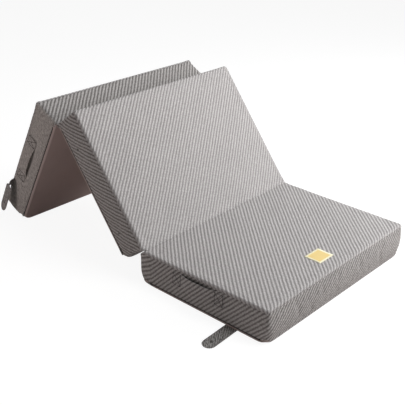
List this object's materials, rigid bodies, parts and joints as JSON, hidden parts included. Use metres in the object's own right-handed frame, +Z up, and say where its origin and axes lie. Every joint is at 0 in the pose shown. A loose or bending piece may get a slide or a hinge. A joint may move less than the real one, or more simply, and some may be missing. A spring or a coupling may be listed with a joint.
{
  "type": "folding mattress",
  "caption": "Tri-fold foam floor mattress with fabric hinges, zipped panel covers, sewn side handles and snap straps, half unfolded with its rear panels propped as a tent.",
  "frame": {"origin": "middle of the front panel's flat underside, where the mattress rests on the floor", "axes": "+X towards the front panel's open end, away from the folds; +Y across the width, away from the handles; +Z up"},
  "size_m": [1.6046, 1.127, 0.6515],
  "materials": {
    "top_fabric": "grey diagonal-twill knit, matt",
    "band_fabric": "grey diagonal-twill knit, matt",
    "bottom_fabric": "plain dark brown-grey woven, matt",
    "foam": "pale open-cell foam",
    "strap_fabric": "grey twill folded flat, matt",
    "zip": "dark woven tape and coil",
    "snap_metal": "dark enamelled metal",
    "label": "satin label, bare"
  },
  "bodies": {
    "front_panel": {"front_foam_core": "foam", "front_top_cover": "top_fabric", "front_side_band": "band_fabric", "front_bottom_cover": "bottom_fabric", "front_zip_chain": "zip", "front_handle": "strap_fabric", "front_strap_root": "strap_fabric", "front_fold_seam": "top_fabric", "care_label": "label"},
    "middle_panel": {"middle_foam_core": "foam", "middle_top_cover": "top_fabric", "middle_side_band": "band_fabric", "middle_bottom_cover": "bottom_fabric", "middle_zip_chain": "zip", "front_strap_stud": "snap_metal", "back_strap_stud": "snap_metal", "back_fold_seam": "bottom_fabric"},
    "back_panel": {"back_foam_core": "foam", "back_top_cover": "top_fabric", "back_side_band": "band_fabric", "back_bottom_cover": "bottom_fabric", "back_zip_chain": "zip", "back_handle": "strap_fabric", "back_strap_root": "strap_fabric"},
    "front_strap": {"front_strap": "strap_fabric", "front_strap_snap": "snap_metal"},
    "back_strap": {"back_strap": "strap_fabric", "back_strap_snap": "snap_metal"},
    "front_zip_slider": {"front_zip_slider": "snap_metal"},
    "middle_zip_slider": {"middle_zip_slider": "snap_metal"},
    "back_zip_slider": {"back_zip_slider": "snap_metal"},
    "front_zip_pull": {"front_zip_pull": "snap_metal"},
    "middle_zip_pull": {"middle_zip_pull": "snap_metal"},
    "back_zip_pull": {"back_zip_pull": "snap_metal"}
  },
  "joints": [
    {"name": "front_fold", "type": "hinge", "parent": "front_panel", "child": "middle_panel", "pos_m": [-0.325, 0, 0.1505], "axis": [0, 1, 0], "range_deg": [-51.6, 125.4]},
    {"name": "back_fold", "type": "hinge", "parent": "middle_panel", "child": "back_panel", "pos_m": [-0.84708, 0, 0.56611], "axis": [0, 1, 0], "range_deg": [-66.4, 113.4]},
    {"name": "front_strap_lift", "type": "hinge", "parent": "front_panel", "child": "front_strap", "pos_m": [0.151, -0.49, 0.0012], "axis": [-1, 0, 0], "range_deg": [0, 90]},
    {"name": "back_strap_lift", "type": "hinge", "parent": "back_panel", "child": "back_strap", "pos_m": [-1.20775, -0.49, 0.18303], "axis": [-0.4723, 0, -0.8815], "range_deg": [-35, 90]},
    {"name": "front_zip_slide", "type": "slide", "parent": "front_panel", "child": "front_zip_slider", "axis": [1, 0, 0], "range_m": [0, 0.552]},
    {"name": "middle_zip_slide", "type": "slide", "parent": "middle_panel", "child": "middle_zip_slider", "axis": [-0.6211, 0, 0.7837], "range_m": [0, 0.552]},
    {"name": "back_zip_slide", "type": "slide", "parent": "back_panel", "child": "back_zip_slider", "axis": [0.4723, 0, 0.8815], "range_m": [0, 0.552]},
    {"name": "front_zip_pull_turn", "type": "hinge", "parent": "front_zip_slider", "child": "front_zip_pull", "pos_m": [-0.276, -0.4848, 0.0125], "axis": [0, 0, 1], "range_deg": [0, 180]},
    {"name": "middle_zip_pull_turn", "type": "hinge", "parent": "middle_zip_slider", "child": "middle_zip_pull", "pos_m": [-0.46359, -0.4848, 0.10318], "axis": [-0.7837, 0, -0.6211], "range_deg": [0, 180]},
    {"name": "back_zip_pull_turn", "type": "hinge", "parent": "back_zip_slider", "child": "back_zip_pull", "pos_m": [-1.14237, -0.4848, 0.04249], "axis": [-0.8815, 0, 0.4723], "range_deg": [0, 180]}
  ]
}
